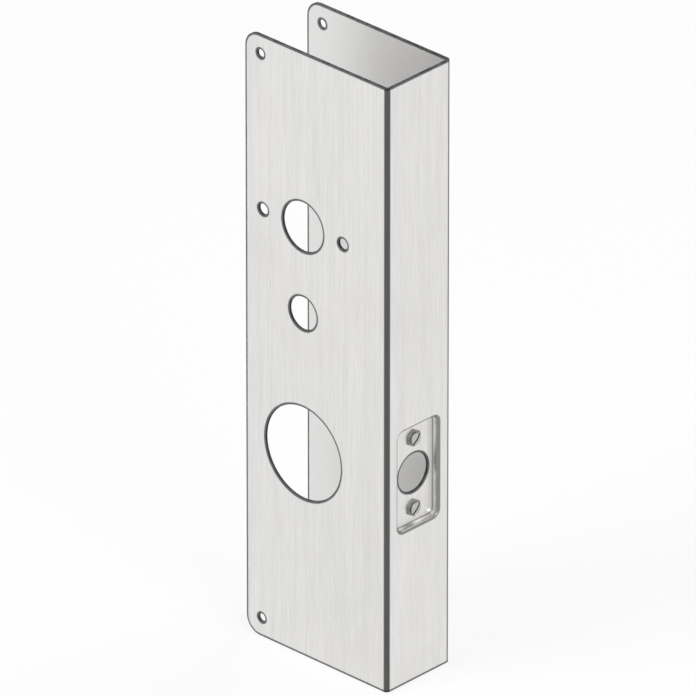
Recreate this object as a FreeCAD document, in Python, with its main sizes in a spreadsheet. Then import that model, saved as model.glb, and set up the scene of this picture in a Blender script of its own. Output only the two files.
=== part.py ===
import FreeCAD, Part

# Wraparound door reinforcer plate. One sheet of satin stainless steel is folded into a channel
# that slips over the edge of a door. Both leaves are bored for a lock and the fixings above it,
# and the web between them is pressed in to take the front of the latch. Two hexagonal nuts are
# clinched into the floor of that recess, and each holds a slotted machine screw.
#
# Frame, in millimetres: X runs along the leaves, with the web at +X and the free edges at -X.
# Y crosses the door, with the front leaf at -Y. Z is up, and the origin is the middle of the
# channel at its lower end.

import math
import os

import Sketcher
from FreeCAD import Rotation, Vector

SIZES = [
    # The folded plate
    ("plate_height", 355.6, "14 in, end to end"),
    ("leaf_width", 101.6, "4 in, free edge to the outer face of the web"),
    ("door_thickness", 44.45, "1-3/4 in door"),
    ("door_clearance", 0.6, "slip fit over the door, both sides together"),
    ("sheet_thickness", 1.52, "16 gauge"),
    ("bend_radius", 0.8, "inside radius of every bend"),
    ("corner_radius", 9.525, "3/8 in, free corners of the leaves"),
    ("edge_break", 0.25, "bevel that deburring leaves on sheared edges"),
    # Bores for the lock
    ("backset", 60.325, "2-3/8 in, outer face of the web to the line of the bores"),
    ("lock_height", 120.65, "4-3/4 in, lower end to the lock bore and the latch"),
    ("lock_bore", 53.975, "2-1/8 in"),
    ("middle_bore", 19.05, "3/4 in"),
    ("middle_rise", 82.55, "3-1/4 in above the lock bore"),
    ("upper_bore", 28.575, "1-1/8 in"),
    ("upper_rise", 133.35, "5-1/4 in above the lock bore"),
    # Fixing holes
    ("side_hole", 6.35, "1/4 in, each side of the upper bore"),
    ("side_hole_pitch", 57.15, "2-1/4 in"),
    ("corner_hole", 4.76, "3/16 in, in the free corners"),
    ("corner_hole_inset", 11.1, "7/16 in from the free edge and from the end"),
    # Recess for the latch front
    ("latch_front_width", 28.575, "1-1/8 in"),
    ("latch_front_height", 57.15, "2-1/4 in"),
    ("latch_front_gap", 0.35, "room round the latch front, both sides together"),
    ("latch_bore", 22.225, "7/8 in"),
    ("recess_depth", 3.97, "5/32 in, face of the web to the floor"),
    ("recess_draft", 12.0, "slope of the pressed walls, in degrees"),
    ("recess_corner", 3.175, "1/8 in, plan corners of the floor"),
    # Clinch nuts
    ("nut_inset", 7.9375, "5/16 in, end of the latch front to its screws"),
    ("nut_flats", 8.73, "11/32 in across the flats"),
    ("nut_height", 1.2, "hexagon above the floor"),
    ("nut_bevel", 30.0, "slope of the bevel on the hexagon's corners, in degrees"),
    ("nut_shank", 6.4, "round shank that is pressed through the floor"),
    ("nut_fit", 0.05, "gap round the shank"),
    # Slotted screws
    ("screw_thread", 4.166, "number 8 machine screw"),
    ("thread_fit", 0.05, "gap round the thread"),
    ("screw_length", 9.525, "3/8 in under the head"),
    ("screw_point", 0.5, "bevel at the tip"),
    ("head_width", 6.86, "fillister head"),
    ("head_side", 1.15, "upright side of the head"),
    ("head_crown", 0.5, "rise of the domed top"),
    ("slot_width", 1.05, "screwdriver slot"),
    ("slot_depth", 0.85, "below the top of the crown"),
    ("slot_angle", 45.0, "how far the slots are turned from level, in degrees"),
]

# Formulas that more than one feature uses
WEB_FACE = "Sizes.leaf_width / 2"
OUTER_FACE = "(Sizes.door_thickness + Sizes.door_clearance) / 2 + Sizes.sheet_thickness"
BORE_LINE = "Sizes.leaf_width / 2 - Sizes.backset"
UPPER_LINE = "Sizes.lock_height + Sizes.upper_rise"
NUT_RISE = "(Sizes.latch_front_height / 2 - Sizes.nut_inset)"
FLOOR_WIDTH = "Sizes.latch_front_width + Sizes.latch_front_gap"
FLOOR_HEIGHT = "Sizes.latch_front_height + Sizes.latch_front_gap"
WALL_RUN = "Sizes.recess_depth * tan(Sizes.recess_draft)"
BACK_RUN = (
    "(Sizes.recess_depth - Sizes.sheet_thickness) * tan(Sizes.recess_draft)"
    " + Sizes.sheet_thickness / cos(Sizes.recess_draft)"
)

ORIGIN = (-1, 1)
LEVEL_AXIS = -1
VERTICAL_AXIS = -2
START, END, CENTRE = range(1, 4)
TINY = 1e-6
TOUCHING = 1e-3
SMOOTH = math.radians(5)

doc = FreeCAD.newDocument("door_reinforcer_plate")


def make_sheet():
    """Fills the spreadsheet of driving sizes and returns it."""
    sheet = doc.addObject("Spreadsheet::Sheet", "Sizes")
    for row, (name, size, note) in enumerate(SIZES, start=1):
        sheet.set("A%d" % row, name)
        sheet.set("B%d" % row, str(size))
        sheet.set("C%d" % row, note)
        sheet.setAlias("B%d" % row, name)
    doc.recompute()
    return sheet


cells = make_sheet()


# Sketches

def sketch_on(body, role, name, offset=None):
    """A sketch on one of the body's own origin planes, or that far out along its normal."""
    sketch = body.newObject("Sketcher::SketchObject", name)
    plane = next(f for f in body.Origin.OriginFeatures if f.Role == role)
    sketch.AttachmentSupport = [(plane, "")]
    sketch.MapMode = "FlatFace"
    if offset:
        sketch.setExpression("AttachmentOffset.Base.z", offset)
    return sketch


def constrain(sketch, kind, *where):
    """Adds a geometric constraint."""
    sketch.addConstraint(Sketcher.Constraint(kind, *where))


def dimension(sketch, name, kind, where, formula):
    """Adds a named dimension, which starts at what is drawn and then follows the formula."""
    if kind in ("DistanceX", "DistanceY"):
        first, second = where
        span = sketch.getPoint(*second) - sketch.getPoint(*first)
        drawn = span.x if kind == "DistanceX" else span.y
        where = first + second
    elif kind == "Diameter":
        drawn = 2 * sketch.Geometry[where[0]].Radius
    else:
        drawn = sketch.Geometry[where[0]].Radius
    index = sketch.addConstraint(Sketcher.Constraint(kind, *where, drawn))
    sketch.renameConstraint(index, name)
    sketch.setExpression("Constraints." + name, formula)


def end_at(sketch, index, point):
    """The end of a line or arc that lies at the point."""
    return min((START, END), key=lambda end: (sketch.getPoint(index, end) - point).Length)


def outline(sketch, corners, smooth=True):
    """Draws a closed outline and returns the index of each piece, in order.

    A corner is a point, or a point and the centre of the arc that leads to it. Lines along an
    axis are held to it, and smooth arcs are held tangent to the lines beside them.
    """
    points = [Vector(*corner[:2]) for corner in corners]
    pieces = []
    for i, corner in enumerate(corners):
        start, end = points[i - 1], points[i]
        if len(corner) == 2:
            piece = sketch.addGeometry(Part.LineSegment(start, end), False)
            if abs(end.x - start.x) < TINY:
                constrain(sketch, "Vertical", piece)
            elif abs(end.y - start.y) < TINY:
                constrain(sketch, "Horizontal", piece)
        else:
            centre = Vector(*corner[2:])
            spoke = (start + end) / 2 - centre
            middle = centre + spoke.normalize() * (end - centre).Length
            piece = sketch.addGeometry(Part.Arc(start, middle, end), False)
        pieces.append(piece)
    for i, point in enumerate(points):
        here, after = pieces[i], pieces[(i + 1) % len(pieces)]
        at_arc = len(corners[i]) > 2 or len(corners[(i + 1) % len(corners)]) > 2
        kind = "Tangent" if smooth and at_arc else "Coincident"
        constrain(sketch, kind, here, end_at(sketch, here, point),
                  after, end_at(sketch, after, point))
    return pieces


def circle(sketch, name, across, up, diameter):
    """Draws a circle. Where its centre has no formula, it is held on the sketch's axis."""
    index = sketch.addGeometry(Part.Circle(Vector(1, 1), Vector(0, 0, 1), 1), False)
    if across:
        dimension(sketch, name + "Across", "DistanceX", (ORIGIN, (index, CENTRE)), across)
    else:
        constrain(sketch, "PointOnObject", index, CENTRE, VERTICAL_AXIS)
    if up:
        dimension(sketch, name + "Up", "DistanceY", (ORIGIN, (index, CENTRE)), up)
    else:
        constrain(sketch, "PointOnObject", index, CENTRE, LEVEL_AXIS)
    dimension(sketch, name + "Diameter", "Diameter", (index,), diameter)


def rounded_rectangle(sketch, width, height, radius):
    """Draws a rectangle with round corners, centred on the latch."""
    middle = cells.lock_height
    half_wide = cells.latch_front_width / 2
    half_high = cells.latch_front_height / 2
    corner = cells.recess_corner
    right, left = half_wide - corner, corner - half_wide
    top, bottom = middle + half_high - corner, middle - half_high + corner
    pieces = outline(sketch, [
        (right, middle - half_high),
        (half_wide, bottom, right, bottom),
        (half_wide, top),
        (right, middle + half_high, right, top),
        (left, middle + half_high),
        (-half_wide, top, left, top),
        (-half_wide, bottom),
        (left, middle - half_high, left, bottom),
    ])
    sides, arcs = pieces[0::2], pieces[1::2]
    foot, side, head, other_side = sides
    for arc in arcs[1:]:
        constrain(sketch, "Equal", arcs[0], arc)
    dimension(sketch, "Corner", "Radius", (arcs[0],), radius)
    dimension(sketch, "Right", "DistanceX", (ORIGIN, (side, START)), f"({width}) / 2")
    dimension(sketch, "Left", "DistanceX", ((other_side, START), ORIGIN), f"({width}) / 2")
    dimension(sketch, "Foot", "DistanceY", (ORIGIN, (foot, START)),
              f"Sizes.lock_height - ({height}) / 2")
    dimension(sketch, "Head", "DistanceY", (ORIGIN, (head, START)),
              f"Sizes.lock_height + ({height}) / 2")


# Features

def add(body, kind, name, settings, formulas):
    """Adds a feature, binds its sizes and makes sure that it changes the body."""
    before = body.Shape.Volume if body.Tip else 0
    feature = body.newObject(kind, name)
    for key, setting in settings.items():
        setattr(feature, key, setting)
    for key, formula in formulas.items():
        feature.setExpression(key, formula)
    doc.recompute()
    if abs(body.Shape.Volume - before) < TINY:
        raise RuntimeError("%s changes nothing" % name)


def is_sharp(shape, edge):
    """True where the two faces of an edge meet at an angle."""
    faces = shape.ancestorsOfType(edge, Part.Face)
    if len(faces) < 2:
        return False
    middle = edge.valueAt((edge.FirstParameter + edge.LastParameter) / 2)
    normals = [face.normalAt(*face.Surface.parameter(middle)) for face in faces]
    return normals[0].getAngle(normals[1]) > SMOOTH


def dress(body, kind, name, formula, wanted):
    """Fillets or chamfers the sharp edges of the newest feature that are wanted."""
    base = body.Tip
    edges = ["Edge%d" % number for number, edge in enumerate(base.Shape.Edges, start=1)
             if wanted(edge) and is_sharp(base.Shape, edge)]
    size = "Radius" if kind == "Fillet" else "Size"
    add(body, "PartDesign::" + kind, name, {"Base": (base, edges)}, {size: formula})


def in_plane(edge, x):
    """True for an edge that lies in the plane at x."""
    return max(abs(edge.BoundBox.XMin - x), abs(edge.BoundBox.XMax - x)) < TOUCHING


def of_recess(x):
    """A test for the edges of the recess or its bulge that lie in the plane at x."""
    reach = cells.latch_front_height
    return lambda edge: (in_plane(edge, x)
                         and abs(edge.CenterOfMass.z - cells.lock_height) < reach)


def on_outer_face(edge):
    """True for an edge that lies in the outer face of a leaf."""
    outer = (cells.door_thickness + cells.door_clearance) / 2 + cells.sheet_thickness
    return abs(abs(edge.CenterOfMass.y) - outer) < TOUCHING


def is_circle(edge, radii):
    """True for a whole circle with one of the radii."""
    return edge.isClosed() and min(abs(edge.Curve.Radius - r) for r in radii) < TOUCHING


# The plate

def channel_section(sketch):
    """Draws the folded sheet end-on: two leaves, the web, and a bend at each side of it."""
    web = cells.leaf_width / 2
    outer = (cells.door_thickness + cells.door_clearance) / 2 + cells.sheet_thickness
    inner = outer - cells.sheet_thickness
    bend = web - cells.bend_radius - cells.sheet_thickness
    turn = inner - cells.bend_radius
    pieces = outline(sketch, [
        (bend, -outer),
        (web, -turn, bend, -turn),
        (web, turn),
        (bend, outer, bend, turn),
        (-web, outer),
        (-web, inner),
        (bend, inner),
        (web - cells.sheet_thickness, turn, bend, turn),
        (web - cells.sheet_thickness, -turn),
        (bend, -inner, bend, -turn),
        (-web, -inner),
        (-web, -outer),
    ])
    front, front_bend, web_line, back_bend, back = pieces[:5]
    back_inside_bend, web_inside, front_inside_bend = pieces[7:10]
    constrain(sketch, "Coincident", front_bend, CENTRE, front_inside_bend, CENTRE)
    constrain(sketch, "Coincident", back_bend, CENTRE, back_inside_bend, CENTRE)
    constrain(sketch, "Equal", front_inside_bend, back_inside_bend)
    dimension(sketch, "BendRadius", "Radius", (front_inside_bend,), "Sizes.bend_radius")
    dimension(sketch, "Sheet", "DistanceX", ((web_inside, START), (web_line, START)),
              "Sizes.sheet_thickness")
    dimension(sketch, "Web", "DistanceX", (ORIGIN, (web_line, START)), WEB_FACE)
    dimension(sketch, "FrontEdge", "DistanceX", ((front, START), ORIGIN), WEB_FACE)
    dimension(sketch, "BackEdge", "DistanceX", ((back, END), ORIGIN), WEB_FACE)
    dimension(sketch, "FrontFace", "DistanceY", ((front, START), ORIGIN), OUTER_FACE)
    dimension(sketch, "BackFace", "DistanceY", (ORIGIN, (back, END)), OUTER_FACE)


def lock_bores(sketch):
    """Draws the bores for the lock, which go through both leaves."""
    circle(sketch, "Lock", BORE_LINE, "Sizes.lock_height", "Sizes.lock_bore")
    circle(sketch, "Middle", BORE_LINE, "Sizes.lock_height + Sizes.middle_rise",
           "Sizes.middle_bore")
    circle(sketch, "Upper", BORE_LINE, UPPER_LINE, "Sizes.upper_bore")


def fixing_holes(sketch):
    """Draws the small holes, which go through both leaves too."""
    for name, sign in (("SideNear", "+"), ("SideFar", "-")):
        circle(sketch, name, f"{BORE_LINE} {sign} Sizes.side_hole_pitch / 2", UPPER_LINE,
               "Sizes.side_hole")
    inset = "Sizes.corner_hole_inset"
    for name, up in (("CornerLow", inset), ("CornerHigh", "Sizes.plate_height - " + inset)):
        circle(sketch, name, f"{inset} - Sizes.leaf_width / 2", up, "Sizes.corner_hole")


def make_plate():
    """The folded, bored and pressed sheet."""
    body = doc.addObject("PartDesign::Body", "reinforcer_plate")
    web = cells.leaf_width / 2
    floor = web - cells.recess_depth
    fixing_radii = (cells.side_hole / 2, cells.corner_hole / 2)

    section = sketch_on(body, "XY_Plane", "ChannelSection")
    channel_section(section)
    add(body, "PartDesign::Pad", "Channel", {"Profile": section},
        {"Length": "Sizes.plate_height"})
    dress(body, "Fillet", "LeafCorners", "Sizes.corner_radius",
          lambda edge: in_plane(edge, -web) and edge.BoundBox.ZLength < TINY)
    bores = sketch_on(body, "XZ_Plane", "BoreCircles")
    lock_bores(bores)
    add(body, "PartDesign::Pocket", "Bores",
        {"Profile": bores, "Type": "ThroughAll", "SideType": "Symmetric"}, {})
    dress(body, "Chamfer", "ShearedEdges", "Sizes.edge_break", lambda edge: True)

    # The small holes are punched from outside, and only their outer rims are bevelled
    fixings = sketch_on(body, "XZ_Plane", "FixingCircles")
    fixing_holes(fixings)
    add(body, "PartDesign::Pocket", "FixingHoles",
        {"Profile": fixings, "Type": "ThroughAll", "SideType": "Symmetric"}, {})
    dress(body, "Chamfer", "FixingRims", "Sizes.edge_break",
          lambda edge: on_outer_face(edge) and is_circle(edge, fixing_radii))

    # The press pushes the sheet inwards, so its back bulges as far as the recess is deep
    bulge = sketch_on(body, "YZ_Plane", "BulgeOutline", f"{WEB_FACE} - Sizes.sheet_thickness")
    rounded_rectangle(bulge, f"{FLOOR_WIDTH} + 2 * ({BACK_RUN})",
                      f"{FLOOR_HEIGHT} + 2 * ({BACK_RUN})", f"Sizes.recess_corner + {BACK_RUN}")
    add(body, "PartDesign::Pad", "Bulge", {"Profile": bulge, "Reversed": True},
        {"Length": "Sizes.recess_depth", "TaperAngle": "-Sizes.recess_draft"})
    mouth = sketch_on(body, "YZ_Plane", "RecessMouth", WEB_FACE)
    rounded_rectangle(mouth, f"{FLOOR_WIDTH} + 2 * {WALL_RUN}",
                      f"{FLOOR_HEIGHT} + 2 * {WALL_RUN}", f"Sizes.recess_corner + {WALL_RUN}")
    add(body, "PartDesign::Pocket", "Recess", {"Profile": mouth},
        {"Length": "Sizes.recess_depth", "TaperAngle": "-Sizes.recess_draft"})

    # Bends keep the sheet's thickness, so each has one radius outside and one inside
    outside = "Sizes.bend_radius + Sizes.sheet_thickness"
    dress(body, "Fillet", "MouthBend", outside, of_recess(web))
    dress(body, "Fillet", "FloorBend", "Sizes.bend_radius", of_recess(floor))
    dress(body, "Fillet", "RootBend", "Sizes.bend_radius",
          of_recess(web - cells.sheet_thickness))
    dress(body, "Fillet", "BulgeBend", outside, of_recess(floor - cells.sheet_thickness))

    latch = sketch_on(body, "YZ_Plane", "LatchCircle", WEB_FACE)
    circle(latch, "Latch", None, "Sizes.lock_height", "Sizes.latch_bore")
    add(body, "PartDesign::Pocket", "LatchBore", {"Profile": latch, "Type": "ThroughAll"}, {})
    dress(body, "Chamfer", "LatchBoreEdges", "Sizes.edge_break",
          lambda edge: is_circle(edge, [cells.latch_bore / 2]))
    nuts = sketch_on(body, "YZ_Plane", "NutCircles", WEB_FACE)
    for name, sign in (("Upper", "+"), ("Lower", "-")):
        circle(nuts, name, None, f"Sizes.lock_height {sign} {NUT_RISE}",
               "Sizes.nut_shank + 2 * Sizes.nut_fit")
    add(body, "PartDesign::Pocket", "NutHoles", {"Profile": nuts, "Type": "ThroughAll"}, {})
    return body


# The nuts and screws

def place(body, seat, sign):
    """Turns a body's Z axis to face out of the recess, at the upper or lower latch screw."""
    body.Placement.Rotation = Rotation(Vector(0, 1, 0), Vector(0, 0, 1), Vector(1, 0, 0))
    body.setExpression("Placement.Base.x", seat)
    body.setExpression("Placement.Base.z", f"Sizes.lock_height {sign} {NUT_RISE}")


def hexagon(sketch):
    """Draws the nut's hexagon in a construction circle, with corners above and below."""
    radius = cells.nut_flats / 2 / math.cos(math.pi / 6)
    sides = outline(sketch, [
        (radius * math.sin(i * math.pi / 3), radius * math.cos(i * math.pi / 3))
        for i in range(6)
    ])
    rim = sketch.addGeometry(Part.Circle(Vector(), Vector(0, 0, 1), radius), True)
    constrain(sketch, "Coincident", rim, CENTRE, *ORIGIN)
    for side in sides:
        constrain(sketch, "PointOnObject", side, START, rim)
    constrain(sketch, "PointOnObject", sides[0], END, VERTICAL_AXIS)
    for upright, beside in ((2, 1), (2, 3), (5, 4)):
        constrain(sketch, "Equal", sides[upright], sides[beside])
    dimension(sketch, "AcrossCorners", "Diameter", (rim,), "Sizes.nut_flats / cos(30)")


def make_nut(name, sign):
    """A hexagonal clinch nut. Its hexagon lies on the floor, and its shank goes through."""
    body = doc.addObject("PartDesign::Body", name)

    flats = sketch_on(body, "XY_Plane", "Flats")
    hexagon(flats)
    add(body, "PartDesign::Pad", "Hexagon", {"Profile": flats}, {"Length": "Sizes.nut_height"})

    bevel = sketch_on(body, "XZ_Plane", "BevelWedge")
    flat, top = cells.nut_flats / 2, cells.nut_height
    slope, top_line, rim = outline(bevel, [(flat, top), (2 * flat, top), (2 * flat, 0)])
    dimension(bevel, "Inner", "DistanceX", (ORIGIN, (slope, END)), "Sizes.nut_flats / 2")
    dimension(bevel, "Outer", "DistanceX", (ORIGIN, (rim, START)), "Sizes.nut_flats")
    dimension(bevel, "Top", "DistanceY", (ORIGIN, (top_line, START)), "Sizes.nut_height")
    dimension(bevel, "Drop", "DistanceY", ((rim, END), (rim, START)),
              "Sizes.nut_flats / 2 * tan(Sizes.nut_bevel)")
    add(body, "PartDesign::Groove", "CornerBevel",
        {"Profile": bevel, "ReferenceAxis": (bevel, ["V_Axis"])}, {})

    shank = sketch_on(body, "XY_Plane", "ShankCircle")
    circle(shank, "Shank", None, None, "Sizes.nut_shank")
    add(body, "PartDesign::Pad", "Shank", {"Profile": shank, "Reversed": True},
        {"Length": "Sizes.sheet_thickness"})
    bore = sketch_on(body, "XY_Plane", "BoreCircle")
    circle(bore, "Bore", None, None, "Sizes.screw_thread + 2 * Sizes.thread_fit")
    add(body, "PartDesign::Pocket", "Bore",
        {"Profile": bore, "Type": "ThroughAll", "SideType": "Symmetric"}, {})
    place(body, f"{WEB_FACE} - Sizes.recess_depth", sign)
    return body


def screw_section(sketch):
    """Draws half of the screw from its tip to the crown of its head, beside the axis."""
    shank, head = cells.screw_thread / 2, cells.head_width / 2
    tip, point = -cells.screw_length, cells.screw_point
    side, crown = cells.head_side, cells.head_crown
    crown_radius = (head ** 2 + crown ** 2) / 2 / crown
    top = side + crown
    axis, end_face, bevel, thread, seat, rim, dome = outline(sketch, [
        (0, tip),
        (shank - point, tip),
        (shank, tip + point),
        (shank, 0),
        (head, 0),
        (head, side),
        (0, top, 0, top - crown_radius),
    ], smooth=False)
    constrain(sketch, "PointOnObject", axis, START, VERTICAL_AXIS)
    constrain(sketch, "PointOnObject", dome, CENTRE, VERTICAL_AXIS)
    constrain(sketch, "PointOnObject", seat, START, LEVEL_AXIS)
    dimension(sketch, "Tip", "DistanceY", ((axis, END), ORIGIN), "Sizes.screw_length")
    dimension(sketch, "TipFace", "DistanceX", (ORIGIN, (end_face, END)),
              "Sizes.screw_thread / 2 - Sizes.screw_point")
    dimension(sketch, "TipBevel", "DistanceY", ((bevel, START), (bevel, END)),
              "Sizes.screw_point")
    dimension(sketch, "Thread", "DistanceX", (ORIGIN, (thread, START)), "Sizes.screw_thread / 2")
    dimension(sketch, "Head", "DistanceX", (ORIGIN, (rim, START)), "Sizes.head_width / 2")
    dimension(sketch, "Side", "DistanceY", (ORIGIN, (rim, END)), "Sizes.head_side")
    dimension(sketch, "Crown", "DistanceY", ((rim, END), (axis, START)), "Sizes.head_crown")


def make_screw(name, sign):
    """A slotted machine screw with a fillister head, which seats on the nut."""
    body = doc.addObject("PartDesign::Body", name)

    section = sketch_on(body, "XZ_Plane", "ScrewSection")
    screw_section(section)
    add(body, "PartDesign::Revolution", "TurnedScrew",
        {"Profile": section, "ReferenceAxis": (section, ["V_Axis"])}, {})

    slot = sketch_on(body, "XY_Plane", "SlotOutline", "Sizes.head_side + Sizes.head_crown")
    slot.setExpression("AttachmentOffset.Rotation.Angle", "Sizes.slot_angle")
    reach, half = cells.head_width, cells.slot_width / 2
    foot, right, head, left = outline(slot, [
        (reach, -half), (reach, half), (-reach, half), (-reach, -half),
    ])
    dimension(slot, "Right", "DistanceX", (ORIGIN, (right, START)), "Sizes.head_width")
    dimension(slot, "Left", "DistanceX", ((left, START), ORIGIN), "Sizes.head_width")
    dimension(slot, "Foot", "DistanceY", ((foot, START), ORIGIN), "Sizes.slot_width / 2")
    dimension(slot, "Head", "DistanceY", (ORIGIN, (head, START)), "Sizes.slot_width / 2")
    add(body, "PartDesign::Pocket", "Slot", {"Profile": slot}, {"Length": "Sizes.slot_depth"})
    place(body, f"{WEB_FACE} - Sizes.recess_depth + Sizes.nut_height", sign)
    return body


def write_parts(bodies):
    """Checks every object and shape, then writes one file for each body."""
    doc.recompute()
    for item in doc.Objects:
        if "Invalid" in item.State or "Error" in item.State:
            raise RuntimeError("%s failed: %s" % (item.Label, item.State))
    for body in bodies:
        if body.Shape.isNull() or not body.Shape.isValid():
            raise RuntimeError("%s has no valid shape" % body.Label)
    os.makedirs("parts", exist_ok=True)
    for body in bodies:
        body.Shape.exportStep("parts/%s.step" % body.Label)
        print("%s: %d solid, %.1f mm3" % (body.Label, len(body.Shape.Solids), body.Shape.Volume))


bodies = [make_plate()]
for level, sign in (("upper", "+"), ("lower", "-")):
    bodies.append(make_nut(level + "_latch_nut", sign))
    bodies.append(make_screw(level + "_latch_screw", sign))
write_parts(bodies)
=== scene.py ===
import math

import bmesh
import bpy
from mathutils import Matrix, Vector


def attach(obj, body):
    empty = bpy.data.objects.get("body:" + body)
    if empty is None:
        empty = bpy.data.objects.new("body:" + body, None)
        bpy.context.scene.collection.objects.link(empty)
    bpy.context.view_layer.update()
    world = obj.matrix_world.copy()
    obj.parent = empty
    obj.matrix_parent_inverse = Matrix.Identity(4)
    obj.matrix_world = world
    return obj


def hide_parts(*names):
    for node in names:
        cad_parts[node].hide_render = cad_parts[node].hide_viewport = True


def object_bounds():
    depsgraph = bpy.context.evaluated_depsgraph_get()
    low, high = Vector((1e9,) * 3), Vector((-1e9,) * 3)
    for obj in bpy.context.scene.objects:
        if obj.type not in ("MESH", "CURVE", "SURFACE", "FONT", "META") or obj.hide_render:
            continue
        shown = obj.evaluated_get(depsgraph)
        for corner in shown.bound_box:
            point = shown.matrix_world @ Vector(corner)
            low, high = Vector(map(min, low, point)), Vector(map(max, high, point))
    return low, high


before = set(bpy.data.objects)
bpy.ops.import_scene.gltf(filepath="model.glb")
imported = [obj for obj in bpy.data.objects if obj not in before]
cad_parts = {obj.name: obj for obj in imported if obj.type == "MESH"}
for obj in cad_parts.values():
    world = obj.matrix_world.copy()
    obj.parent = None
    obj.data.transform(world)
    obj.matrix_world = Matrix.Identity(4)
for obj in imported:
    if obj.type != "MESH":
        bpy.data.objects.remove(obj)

# Wraparound door reinforcer plate in satin stainless steel, with the recess for the latch
# front pressed into its web, two clinch nuts in the recess and a slotted screw in each.
# Metres. X runs along the leaves to the web, Y crosses the door, Z is up.

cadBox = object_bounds()
millimetre = 0.001
hair = 0.0005 * millimetre               # points closer than this are one
onPlane = 0.00001 * millimetre           # how near a cut a point counts as lying on it
print("loaded the frame:", sorted(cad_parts))

# The sizes of the folded sheet that the finishes and the hardware refer to. The plate fills
# the CAD box, so its outer faces are the box's.
farX, farY, farZ = cadBox[1]
sheet = {
    "web": farX,                         # outer face of the web
    "outer": farY,                       # outer faces of the leaves
    "height": farZ,
    "thickness": 1.52 * millimetre,
    "bend": 2.32 * millimetre,           # outside radius of the folds
    "edgeBreak": 0.25 * millimetre,
    "corner": 9.525 * millimetre,        # free corners of the leaves
    "borePlace": -9.525 * millimetre,    # the line of the lock bores
    "lockHeight": 120.65 * millimetre,
    "latchBore": 22.225 * millimetre,
    "recessDepth": 3.97 * millimetre,
    "recessReach": 33.0 * millimetre,    # from the latch to beyond the recess, up or down
    "nutRise": 20.6375 * millimetre,
    "nutBore": 6.5 * millimetre,
    "weld": 0.002 * millimetre,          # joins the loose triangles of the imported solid
    "flatAngle": 0.2,                    # degrees, below which two faces become one
    "sharpness": 35,
}


# Shader maths: a wire carries one socket, and an expression on wires adds its Math nodes

class Wire:
    def __init__(self, paint, socket):
        self.paint = paint
        self.socket = socket

    def __getitem__(self, name):  # another socket of the same node
        return Wire(self.paint, self.socket.node.outputs[name])

    def maths(self, operation, *others):
        return self.paint.add("ShaderNodeMath", {"operation": operation},
                              dict(enumerate((self, *others))))

    def __add__(self, other):
        return self.maths("ADD", other)

    def __sub__(self, other):
        return self.maths("SUBTRACT", other)

    def __rsub__(self, other):
        return self.maths("MULTIPLY_ADD", -1, other)

    def __mul__(self, other):
        return self.maths("MULTIPLY", other)

    def __truediv__(self, other):
        return self.maths("DIVIDE", other)

    def __pow__(self, other):
        return self.maths("POWER", other)

    def __abs__(self):
        return self.maths("ABSOLUTE")

    __radd__ = __add__
    __rmul__ = __mul__

    def root(self):
        return self.maths("SQRT")

    def least(self, other):
        return self.maths("MINIMUM", other)

    def most(self, other):
        return self.maths("MAXIMUM", other)

    def clamped(self):
        return self.most(0).least(1)

    def step(self, low, high):  # 0 below low, 1 above high and smooth between
        return self.paint.add("ShaderNodeMapRange", {"interpolation_type": "SMOOTHSTEP"},
                              {"Value": self, "From Min": low, "From Max": high})


class Paint:
    def __init__(self, owner, shader="Principled BSDF"):
        owner.use_nodes = True
        self.owner = owner
        self.tree = owner.node_tree
        self.shader = self.tree.nodes[shader]

    def connect(self, socket, value):
        if isinstance(value, Wire):
            self.tree.links.new(value.socket, socket)
        else:
            socket.default_value = value

    def add(self, kind, settings, inputs, output=None):
        node = self.tree.nodes.new(kind)
        for key, value in settings.items():
            setattr(node, key, value)
        for key, value in inputs.items():
            self.connect(node.inputs[key], value)
        if output is None:
            return Wire(self, next(socket for socket in node.outputs if socket.enabled))
        return Wire(self, node.outputs[output])

    def feed(self, **inputs):
        for name, value in inputs.items():
            self.connect(self.shader.inputs[name.replace("_", " ")], value)

    def place(self):  # the object's own coordinates
        return self.add("ShaderNodeTexCoord", {}, {}, "Object")

    def parts(self, vector):
        first = self.add("ShaderNodeSeparateXYZ", {}, {"Vector": vector}, "X")
        return first, first["Y"], first["Z"]

    def stretched(self, vector, x, y, z):
        return self.add("ShaderNodeMapping", {}, {"Vector": vector, "Scale": (x, y, z)})

    def noise(self, vector, scale, detail, rough):
        return self.add("ShaderNodeTexNoise", {}, {"Vector": vector, "Scale": scale,
                                                   "Detail": detail, "Roughness": rough})

    def blend(self, factor, first, second):
        return self.add("ShaderNodeMix", {"data_type": "RGBA"},
                        {0: factor, 6: first, 7: second}, 2)

    def bump(self, height, strength, distance):
        return self.add("ShaderNodeBump", {}, {"Height": height, "Strength": strength,
                                               "Distance": distance})


def newPaint(name):
    return Paint(bpy.data.materials.new(name))


# Satin stainless sheet: a fine straight grain along the length outside and a dull mill finish
# inside, faint smudges from handling, a dark band of painted shade along every cut edge, and
# painted shade along both folds and in the recess's bends.
# In this and the other finishes, Noise is a scale, a detail and a roughness, and the three of
# the grain have their squeeze along the length before them. Step is where a mask starts and
# ends, Mix is an even share and one that follows the grain, Dull is what a mask adds to the
# roughness, and relief is a bump's strength and depth.

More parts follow.
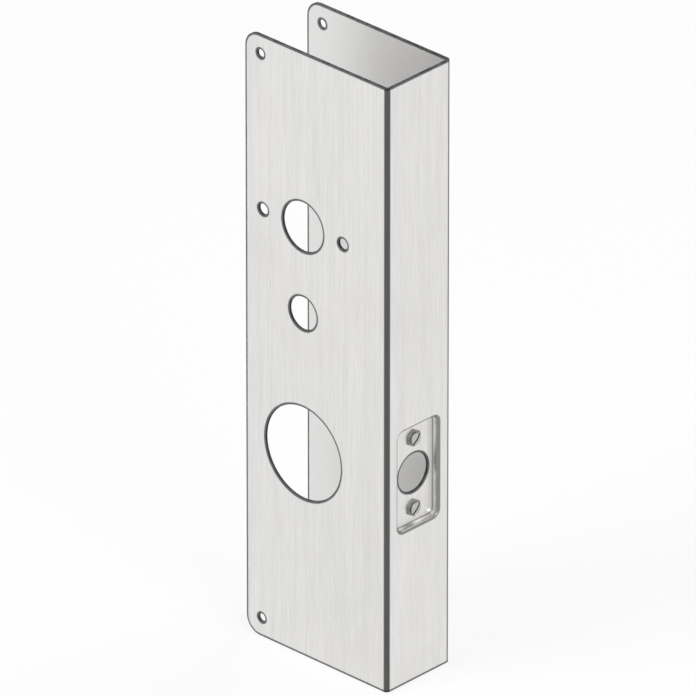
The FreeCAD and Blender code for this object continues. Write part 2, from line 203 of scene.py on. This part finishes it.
satin = {
    "colour": (0.83, 0.82, 0.805, 1),
    "streak": (0.71, 0.705, 0.695, 1),
    "inside": (0.76, 0.757, 0.75, 1),
    "smudge": (0.72, 0.705, 0.685, 1),
    # painted shade: the near-black of the lines along the folds and in the recess's bends
    "fold": (0.03, 0.03, 0.033, 1),
    # painted shade: the dark band along every cut edge
    "tint": (0.055, 0.055, 0.058, 1),
    "roughness": 0.30,
    "fineNoise": (0.012, 5200, 2, 0.6),
    "broadNoise": (0.02, 1100, 3, 0.6),
    "bandNoise": (0.05, 190, 2, 0.5),
    "grainShares": (0.5, 0.32, 0.18),    # of the fine, the broad and the bands
    "grain": 0.40,                       # how far the grain moves the roughness
    "streakStep": (0.38, 0.64),
    "smudgeNoise": (26, 4, 0.55),
    "smudgeStep": (0.52, 0.72),
    "smudgeShare": 0.30,
    "smudgeDull": 0.07,
    "millNoise": (900, 3, 0.5),
    "millShare": 0.25,
    "insideDull": 0.06,
    "relief": (0.35, 0.02 * millimetre),
    "sideBlend": 0.1 * millimetre,       # about mid-sheet, where outside turns to inside
    "recessBack": 5.0 * millimetre,      # where the recess starts, behind the web's face
    "reachBlend": 0.5 * millimetre,
    "recessStep": (0.05, 0.15),          # this and the bends' steps go by how far a face looks
    "bendStep": (0.21, 0.48),            # along X: from 0 for a wall to 1 for the web
    "webStep": (0.93, 0.9995),
    "pressedMix": (0.50, 0.40),
    "foldWidth": 2.8 * millimetre,       # the width of the painted shade, from the corner of each bend, along either face
    "foldStep": (0.0, 0.36),
    "foldMix": (0.80, 0.20),
    "tintFull": 0.95 * millimetre,       # painted edge shade at full strength to here, from the edge
    "tintEnd": 1.6 * millimetre,
    "tintNoise": (420, 3, 0.6),
    "tintWaver": 0.5 * millimetre,       # how far its border wanders
    "tintMix": (0.72, 0.30),
    "tintDull": 0.08,
    "latchTintBack": 8.0 * millimetre,   # how far behind the web's face the latch bore takes painted shade
    "latchTintBlend": 1.0 * millimetre,
    "bores": [                           # height above the lock bore, radius
        (0.0, 26.9875 * millimetre),
        (82.55 * millimetre, 9.525 * millimetre),
        (133.35 * millimetre, 14.2875 * millimetre),
    ],
    # from the bores' line to either side, height above the lock bore, radius
    "sideHoles": (28.575 * millimetre, 133.35 * millimetre, 3.175 * millimetre),
    # inset from the free edge and from the end, radius
    "cornerHoles": (11.1 * millimetre, 2.38 * millimetre),
}


def fromRim(across, up, radius):  # distance from a round hole's rim, in its own plane
    return (across * across + up * up).root() - radius


def cutEdgeDistance(x, y, z):
    fromMiddle = abs(z - sheet["height"] / 2)
    overX = 0 - x - (sheet["web"] - sheet["corner"])
    overZ = fromMiddle - (sheet["height"] / 2 - sheet["corner"])
    roundPart = (overX.most(0) ** 2 + overZ.most(0) ** 2).root()
    nearest = sheet["corner"] - (roundPart + overX.most(overZ).least(0))
    beside, above = x - sheet["borePlace"], z - sheet["lockHeight"]
    for rise, radius in satin["bores"]:
        nearest = nearest.least(fromRim(beside, above - rise, radius))
    across, rise, radius = satin["sideHoles"]
    nearest = nearest.least(fromRim(abs(beside) - across, above - rise, radius))
    inset, radius = satin["cornerHoles"]
    nearest = nearest.least(fromRim(x + (sheet["web"] - inset),
                                    fromMiddle - (sheet["height"] / 2 - inset), radius))
    # the painted shade reaches round the latch bore only on the web
    shadeBack = sheet["web"] - satin["latchTintBack"]
    onWeb = x.step(shadeBack, shadeBack + satin["latchTintBlend"])
    return nearest.least(fromRim(y, above, sheet["latchBore"] / 2) + (1 - onWeb))


def satinSteel():
    paint = newPaint("satinSteel")
    place = paint.place()
    x, y, z = paint.parts(place)
    facing = paint.parts(paint.add("ShaderNodeNewGeometry", {}, {}, "Normal"))[0]

    def lengthwise(squeeze, *noise):
        return paint.noise(paint.stretched(place, 1, 1, squeeze), *noise)

    fine, broad = lengthwise(*satin["fineNoise"]), lengthwise(*satin["broadNoise"])
    bands = lengthwise(*satin["bandNoise"])
    fineShare, broadShare, bandShare = satin["grainShares"]
    grain = fine * fineShare + broad * broadShare + bands * bandShare
    smudges = paint.noise(place, *satin["smudgeNoise"]).step(*satin["smudgeStep"])
    mill = paint.noise(place, *satin["millNoise"])

    middle, blend = sheet["thickness"] / 2, satin["sideBlend"]
    leafSide = abs(y).step(sheet["outer"] - middle - blend, sheet["outer"] - middle + blend)
    webSide = x.step(sheet["web"] - middle - blend, sheet["web"] - middle + blend)
    fromLatch = abs(z - sheet["lockHeight"])
    nearLatch = (sheet["recessReach"] - fromLatch).step(0, satin["reachBlend"])
    recessBack = sheet["web"] - satin["recessBack"]
    inRecess = (facing.step(*satin["recessStep"]) * nearLatch
                * x.step(recessBack, recessBack + satin["reachBlend"]))
    outside = leafSide.most(webSide).most(inRecess)

    # Painted shade: a dark line along each of the two folds, fading out on both faces
    turnX = ((x - sheet["web"]) / satin["foldWidth"] + 1).clamped()
    turnY = ((abs(y) - sheet["outer"]) / satin["foldWidth"] + 1).clamped()
    fold = (turnX * turnY).step(*satin["foldStep"])
    # Painted shade in the recess's bends near the latch, on faces turned part-way between a
    # wall and the web
    bend = facing.step(*satin["bendStep"]) * (1 - facing.step(*satin["webStep"]))
    pressedShade = bend * nearLatch * (1 - fold)
    # Painted shade: a dark band along every cut edge and round the latch bore, with a
    # wandering border
    waver = (paint.noise(place, *satin["tintNoise"]) - 0.5) * satin["tintWaver"]
    tint = 1 - (cutEdgeDistance(x, y, z) + waver).step(satin["tintFull"], satin["tintEnd"])

    brushed = paint.blend(grain.step(*satin["streakStep"]), satin["streak"], satin["colour"])
    milled = paint.blend(mill * satin["millShare"], satin["inside"], satin["smudge"])
    colour = paint.blend(outside, milled, brushed)
    colour = paint.blend(smudges * satin["smudgeShare"], colour, satin["smudge"])
    # The painted shade goes on over the finish: the band at the cut edges, the folds' lines
    # and the recess's bends
    for mask, pattern, shade, mix in ((tint, fine, "tint", "tintMix"),
                                      (fold, grain, "fold", "foldMix"),
                                      (pressedShade, grain, "fold", "pressedMix")):
        even, uneven = satin[mix]
        colour = paint.blend(mask * (even + pattern * uneven), colour, satin[shade])
    roughness = (satin["roughness"] + (grain - 0.5) * satin["grain"]
                 + smudges * satin["smudgeDull"] + (1 - outside) * satin["insideDull"]
                 + tint * satin["tintDull"])
    relief = paint.bump(grain * outside + mill * (1 - outside), *satin["relief"])
    paint.feed(Base_Color=colour, Metallic=1.0, Roughness=roughness, Normal=relief)
    return paint.owner


# Sheared edges: where the sheet was cut, torn patches on burnished metal, their dull grey
# painted down to near black as shade

sheared = {
    # painted shade: the cut faces' colours, near black
    "torn": (0.035, 0.035, 0.04, 1),
    "burnished": (0.10, 0.10, 0.105, 1),
    "roughness": 0.46,
    "markSqueeze": 0.08,                 # the marks run through the sheet
    "markNoise": (2600, 3, 0.6),
    "markShare": 0.5,                    # and the patches have the rest
    "patchNoise": (240, 3, 0.6),
    "tornStep": (0.42, 0.60),
    "tornDull": 0.2,
    "relief": (0.5, 0.04 * millimetre),
}


def shearedShadedSteel():
    paint = newPaint("shearedShadedSteel")
    place = paint.place()
    marks = paint.noise(paint.stretched(place, 1, sheared["markSqueeze"], 1),
                        *sheared["markNoise"])
    patches = paint.noise(place, *sheared["patchNoise"])
    torn = (marks * sheared["markShare"]
            + patches * (1 - sheared["markShare"])).step(*sheared["tornStep"])
    paint.feed(Base_Color=paint.blend(torn, sheared["burnished"], sheared["torn"]),
               Metallic=1.0, Roughness=sheared["roughness"] + torn * sheared["tornDull"],
               Normal=paint.bump(marks, *sheared["relief"]))
    return paint.owner


# Plating on the nuts and screws, with the faint cloudiness of a barrel-plated finish

plating = {
    "nut": {"colour": (0.31, 0.306, 0.294, 1), "cloud": (0.235, 0.232, 0.224, 1),
            "roughness": 0.32},
    "screw": {"colour": (0.54, 0.54, 0.53, 1), "cloud": (0.45, 0.45, 0.445, 1),
              "roughness": 0.26},
    "cloudNoise": (1100, 4, 0.6),
    "cloudStep": (0.3, 0.7),
    "cloudDull": 0.16,
    "pitNoise": (5200, 2, 0.5),
    "relief": (0.4, 0.02 * millimetre),
}


def barrelPlating(name, finish):
    paint = newPaint(name)
    place = paint.place()
    clouds = paint.noise(place, *plating["cloudNoise"])
    pits = paint.noise(place, *plating["pitNoise"])
    paint.feed(Base_Color=paint.blend(clouds.step(*plating["cloudStep"]), finish["cloud"],
                                      finish["colour"]),
               Metallic=1.0, Roughness=finish["roughness"] + clouds * plating["cloudDull"],
               Normal=paint.bump(pits, *plating["relief"]))
    return paint.owner


# Painted shade in the screws' slots: near black, with faint lighter specks

slotShade = {
    "colour": (0.012, 0.012, 0.013, 1),
    "crumb": (0.05, 0.048, 0.045, 1),
    "roughness": 0.6,
    "crumbNoise": (4200, 3, 0.6),
    "crumbStep": (0.45, 0.7),
    "crumbDull": 0.3,
    "relief": (0.6, 0.03 * millimetre),
}


def paintedSlotShade():
    paint = newPaint("paintedSlotShade")
    slotSpecks = paint.noise(paint.place(), *slotShade["crumbNoise"])
    paint.feed(Base_Color=paint.blend(slotSpecks.step(*slotShade["crumbStep"]), slotShade["colour"],
                                      slotShade["crumb"]),
               Roughness=slotShade["roughness"] + slotSpecks * slotShade["crumbDull"],
               Normal=paint.bump(slotSpecks, *slotShade["relief"]))
    return paint.owner


# Meshes

def finished(skin, name, materials, sharpness):
    mesh = bpy.data.meshes.new(name)
    skin.to_mesh(mesh)
    skin.free()
    for material in materials:
        mesh.materials.append(material)
    mesh.shade_smooth()
    mesh.set_sharp_from_angle(angle=math.radians(sharpness))
    piece = bpy.data.objects.new(name, mesh)
    bpy.context.scene.collection.objects.link(piece)
    shading = piece.modifiers.new("evenShading", "WEIGHTED_NORMAL")  # flat faces stay flat
    shading.keep_sharp, shading.weight = True, 100
    print(name + ":", len(mesh.polygons), "faces")
    return piece


def isSheared(face):  # the cut faces of the sheet: its ends, free edges and the bores' walls
    middle, normal = face.calc_center_median(), face.normal
    rim = 1.2 * sheet["edgeBreak"]  # the bevelled edge and a little more
    endLooksUp = 0.5  # at least this much of an end face's normal is along Z
    skinLooksOut = 0.9  # and this much of a leaf's along Y, or of the web's along X
    if abs(normal.z) > endLooksUp and min(middle.z, sheet["height"] - middle.z) < rim:
        return True
    if middle.x < sheet["web"] - sheet["bend"] - sheet["recessDepth"]:
        return abs(normal.y) < skinLooksOut
    rise = abs(middle.z - sheet["lockHeight"])
    inLatchBore = math.hypot(middle.y, rise) < sheet["latchBore"] / 2 + rim
    inNutBore = math.hypot(middle.y, rise - sheet["nutRise"]) < sheet["nutBore"] / 2 + rim
    return abs(normal.x) < skinLooksOut and (inLatchBore or inNutBore)


def makePlate():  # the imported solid's own faces, joined into one closed skin
    skin = bmesh.new()
    skin.from_mesh(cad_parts["reinforcer_plate"].data)
    bmesh.ops.remove_doubles(skin, verts=skin.verts, dist=sheet["weld"])
    bmesh.ops.dissolve_limit(skin, angle_limit=math.radians(sheet["flatAngle"]),
                             verts=skin.verts, edges=skin.edges)
    bmesh.ops.recalc_face_normals(skin, faces=skin.faces)
    for face in skin.faces:
        face.material_index = 1 if isSheared(face) else 0
    piece = finished(skin, "satinPlate", [satinSteel(), shearedShadedSteel()], sheet["sharpness"])
    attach(piece, "root")
    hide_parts("reinforcer_plate")


# Slotted screws with a fillister head. Each is made upright at the origin, with its seat at
# zero, then laid along X and moved into its nut.

screw = {
    "thread": 4.166 * millimetre,
    "pitch": 0.79375 * millimetre,
    "threadDepth": 0.42 * millimetre,
    "threadForm": (0.25, 0.5625, 0.6875),  # root's end and crest's start and end, in pitches
    "length": 9.525 * millimetre,
    "point": 0.5 * millimetre,
    "head": 6.86 * millimetre,
    "side": 1.15 * millimetre,
    "crown": 0.5 * millimetre,
    "rim": 0.16 * millimetre,
    "slotWidth": 1.05 * millimetre,
    "slotDepth": 0.85 * millimetre,
    "slotTurn": 45.0,
    "stepsAround": 48,
    "threadSteps": 30,                   # a turn
    "crownSteps": 8,
    "rimSteps": 3,
    "sharpness": 40,
}


def spun(points, steps, angle=math.tau, climb=0.0):
    skin = bmesh.new()
    verts = [skin.verts.new(point) for point in points]
    edges = [skin.edges.new(pair) for pair in zip(verts, verts[1:])]
    bmesh.ops.spin(skin, geom=verts + edges, cent=(0, 0, 0), axis=(0, 0, 1),
                   dvec=(0, 0, climb / steps), angle=angle, steps=steps,
                   use_merge=not climb, use_duplicate=False)
    bmesh.ops.remove_doubles(skin, verts=skin.verts, dist=hair)
    return skin


def cutAway(skin, point, normal):  # removes what lies beyond a plane and closes the cut
    result = bmesh.ops.bisect_plane(
        skin, geom=skin.verts[:] + skin.edges[:] + skin.faces[:], dist=onPlane,
        plane_co=point, plane_no=normal, clear_outer=True)
    rim = [item for item in result["geom_cut"] if isinstance(item, bmesh.types.BMEdge)]
    bmesh.ops.holes_fill(skin, edges=rim, sides=0)


def joined(skins):
    whole = bmesh.new()
    for skin in skins:
        mesh = bpy.data.meshes.new("part")
        skin.to_mesh(mesh)
        whole.from_mesh(mesh)
        bpy.data.meshes.remove(mesh)
        skin.free()
    return whole


def wholeHead():
    radius, side, crown = screw["head"] / 2, screw["side"], screw["crown"]
    points = [(0, 0, 0), (radius, 0, 0), (radius, 0, side)]
    for i in range(screw["crownSteps"]):  # domed crown, from its rim to the axis
        across = 1 - (i + 1) / screw["crownSteps"]
        points.append((radius * across, 0, side + crown * (1 - across ** 2)))
    skin = spun(points, screw["stepsAround"])
    bmesh.ops.recalc_face_normals(skin, faces=skin.faces)
    rims = [edge for edge in skin.edges
            if all(math.hypot(vert.co.x, vert.co.y) > radius - hair for vert in edge.verts)
            and abs(edge.verts[0].co.z - edge.verts[1].co.z) < hair]
    bmesh.ops.bevel(skin, geom=rims, offset=screw["rim"], segments=screw["rimSteps"],
                    profile=0.5, affect="EDGES", material=-1)
    return skin


def slottedHead():  # a disc below the slot's floor, and a cheek on each side of the slot
    floor = screw["side"] + screw["crown"] - screw["slotDepth"]
    half = screw["slotWidth"] / 2
    disc = wholeHead()
    cutAway(disc, (0, 0, floor), (0, 0, 1))
    skins = [disc]
    for way in (1, -1):
        cheek = wholeHead()
        cutAway(cheek, (0, 0, floor), (0, 0, -1))
        cutAway(cheek, (0, way * half, 0), (0, -way, 0))
        skins.append(cheek)
    skin = joined(skins)
    # the second material is painted shade, which darkens the slot
    for face in skin.faces:  # the slot's floor and walls take the second material
        middle = face.calc_center_median()
        if abs(middle.y) < half + hair and middle.z > floor - hair:
            face.material_index = 1
    return skin


def threadedShank():
    major = screw["thread"] / 2
    minor = major - screw["threadDepth"]
    pitch, tip = screw["pitch"], -screw["length"]
    turns = math.ceil(screw["length"] / pitch) + 2  # with one to cut away at each end
    start = tip - pitch
    rootEnd, crestStart, crestEnd = (start + share * pitch for share in screw["threadForm"])
    points = [(minor, 0, start), (minor, 0, rootEnd), (major, 0, crestStart),
              (major, 0, crestEnd), (minor, 0, start + pitch)]
    skin = spun(points, screw["threadSteps"] * turns, math.tau * turns, pitch * turns)
    cutAway(skin, (0, 0, tip), (0, 0, -1))
    cutAway(skin, (0, 0, screw["rim"]), (0, 0, 1))
    for vert in skin.verts:  # the point is bevelled
        limit = major - screw["point"] + (vert.co.z - tip)
        across = math.hypot(vert.co.x, vert.co.y)
        if across > limit:
            vert.co.xy *= limit / across
    bmesh.ops.recalc_face_normals(skin, faces=skin.faces)
    return skin


# Clinch nuts: a hexagon with its corners bevelled off, above a shank pressed into the floor.
# They are made upright too, with the hexagon's seat at zero.

nut = {
    "flats": 8.73 * millimetre,
    "height": 1.2 * millimetre,
    "bevel": 30.0,
    "bore": screw["thread"] + 0.1 * millimetre,
    "shank": 6.4 * millimetre,
    "seat": sheet["web"] - sheet["recessDepth"],  # the recess's floor, along X
    "stepsAround": 96,
    "sharpness": 25,
}


def clinchNut():
    flats, height, below = nut["flats"] / 2, nut["height"], -sheet["thickness"]
    bore, shank = nut["bore"] / 2, nut["shank"] / 2
    halfSide = 30  # degrees, from the middle of a hexagon's side to its corner
    corner = flats / math.cos(math.radians(halfSide))
    points = [(bore, 0, below), (bore, 0, height), (flats, 0, height), (corner, 0, height),
              (corner, 0, 0), (shank, 0, 0), (shank, 0, below), (bore, 0, below)]
    skin = spun(points, nut["stepsAround"])
    slope = math.tan(math.radians(nut["bevel"]))
    for vert in skin.verts:  # the round blank is pulled in to six flats
        across = math.hypot(vert.co.x, vert.co.y)
        if across > flats + hair:
            turn = math.degrees(math.atan2(vert.co.y, vert.co.x))
            offSide = (turn + halfSide) % (2 * halfSide) - halfSide
            reach = flats / math.cos(math.radians(offSide))
            vert.co.xy *= reach / across
            if vert.co.z > hair:
                vert.co.z = height - (reach - flats) * slope
    bmesh.ops.remove_doubles(skin, verts=skin.verts, dist=hair)
    bmesh.ops.recalc_face_normals(skin, faces=skin.faces)
    return skin


def layInRecess(skin, turn, seat, rise):  # from upright to along X, at its nut's place
    turned = Matrix.Rotation(math.radians(turn), 4, "Z")
    lay = Matrix(((0, 0, 1, 0), (1, 0, 0, 0), (0, 1, 0, 0), (0, 0, 0, 1)))
    move = Matrix.Translation((seat, 0, sheet["lockHeight"] + rise))
    bmesh.ops.transform(skin, matrix=move @ lay @ turned, verts=skin.verts)


def makeScrew(name, node, rise, materials):
    skin = joined([slottedHead(), threadedShank()])
    layInRecess(skin, screw["slotTurn"], nut["seat"] + nut["height"], rise)
    piece = finished(skin, name, materials, screw["sharpness"])
    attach(piece, "root")
    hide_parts(node)


def makeNut(name, node, rise, materials):
    skin = clinchNut()
    layInRecess(skin, 0, nut["seat"], rise)
    piece = finished(skin, name, materials, nut["sharpness"])
    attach(piece, "root")
    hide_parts(node)


makePlate()
# the screws' second material paints shade into their slots
screwFinish = [barrelPlating("screwPlating", plating["screw"]), paintedSlotShade()]
nutFinish = [barrelPlating("nutPlating", plating["nut"])]
for level, rise in (("upper", sheet["nutRise"]), ("lower", -sheet["nutRise"])):
    makeScrew(level + "Screw", level + "_latch_screw", rise, screwFinish)
    makeNut(level + "Nut", level + "_latch_nut", rise, nutFinish)


# Studio: a pale floor, a white surround and soft lamps. The camera looks from far away, so
# that upright and level edges stay parallel, as they are drawn.

studio = {
    "azimuth": 43.5,
    "elevation": 28.0,
    "distance": 10.0,
    "frame": 363.0 * millimetre,         # what the picture takes in, side to side
    "aim": (0.0, 0.0, 0.1770),
    "sensor": 36.0,                      # the lens is in the same millimetres
    "clip": (1.0, 60.0),
    "floorColour": (0.93, 0.93, 0.93, 1),
    "floorSpeck": (0.91, 0.91, 0.91, 1),
    "speckNoise": (400, 2, 0.5),
    "floorRoughness": 0.9,
    "floorRadius": 16.0,
    "floorSides": 64,
    "floorGlow": 0.74,                   # how much of the floor by the plate is its own white
    "whiteStep": (0.5, 3.0),             # metres out, over which it becomes white alone
    "surround": 0.62,                    # light from all round
    "lamps": [                           # place, size, watts
        ((-0.9, -2.2, 1.7), 1.6, 34.0),
        ((2.3, -0.5, 1.3), 1.3, 13.5),
        ((0.3, 1.6, 2.4), 1.6, 16.0),
    ],
}


def direction(azimuth, elevation):
    a, e = math.radians(azimuth), math.radians(elevation)
    return Vector((math.sin(a) * math.cos(e), -math.cos(a) * math.cos(e), math.sin(e)))


def whiteForView(paint):  # 1 for what the camera sees, straight on or in a reflection
    path = paint.add("ShaderNodeLightPath", {}, {}, "Is Camera Ray")
    return (path + path["Is Glossy Ray"] + path["Is Transmission Ray"]).clamped()


def makeFloor():
    skin = bmesh.new()
    bmesh.ops.create_circle(skin, cap_ends=True, cap_tris=True, segments=studio["floorSides"],
                            radius=studio["floorRadius"])
    mesh = bpy.data.meshes.new("studioFloor")
    skin.to_mesh(mesh)
    skin.free()
    paint = newPaint("floorPaint")
    place = paint.place()
    x, y = paint.parts(place)[:2]
    away = (x * x + y * y).root().step(*studio["whiteStep"])
    white = studio["floorGlow"] + away * (1 - studio["floorGlow"])
    specks = paint.noise(place, *studio["speckNoise"])
    paint.feed(Base_Color=paint.blend(specks, studio["floorSpeck"], studio["floorColour"]),
               Roughness=studio["floorRoughness"])
    glow = paint.add("ShaderNodeEmission", {}, {"Color": (1, 1, 1, 1), "Strength": 1.0})
    mixed = paint.add("ShaderNodeMixShader", {},
                      {0: whiteForView(paint) * white,
                       1: Wire(paint, paint.shader.outputs[0]), 2: glow})
    paint.connect(paint.tree.nodes["Material Output"].inputs["Surface"], mixed)
    mesh.materials.append(paint.owner)
    floor = bpy.data.objects.new("studioFloor", mesh)
    bpy.context.scene.collection.objects.link(floor)


def makeSurround():
    world = bpy.data.worlds.new("studioWorld")
    bpy.context.scene.world = world
    paint = Paint(world, "Background")
    strength = studio["surround"] + whiteForView(paint) * (1 - studio["surround"])
    paint.feed(Color=(1, 1, 1, 1), Strength=strength)


def makeLamps():
    middle = Vector(studio["aim"])
    for number, (place, size, watts) in enumerate(studio["lamps"], start=1):
        light = bpy.data.lights.new("softLamp%d" % number, "AREA")
        light.shape, light.size, light.energy = "SQUARE", size, watts
        lamp = bpy.data.objects.new(light.name, light)
        lamp.location = place
        lamp.rotation_euler = (middle - Vector(place)).to_track_quat("-Z", "Y").to_euler()
        lamp.visible_camera = False
        bpy.context.scene.collection.objects.link(lamp)


def makeCamera():
    data = bpy.data.cameras.new("drawingView")
    data.sensor_width = studio["sensor"]
    data.lens = studio["sensor"] * studio["distance"] / studio["frame"]
    data.clip_start, data.clip_end = studio["clip"]
    camera = bpy.data.objects.new("drawingView", data)
    back = direction(studio["azimuth"], studio["elevation"])
    camera.location = Vector(studio["aim"]) + back * studio["distance"]
    camera.rotation_euler = (-back).to_track_quat("-Z", "Y").to_euler()
    bpy.context.scene.collection.objects.link(camera)
    bpy.context.scene.camera = camera


makeFloor()
makeSurround()
makeLamps()
makeCamera()
bpy.context.scene.view_settings.view_transform = "Standard"
print("studio: floor, surround, %d lamps and the camera" % len(studio["lamps"]))
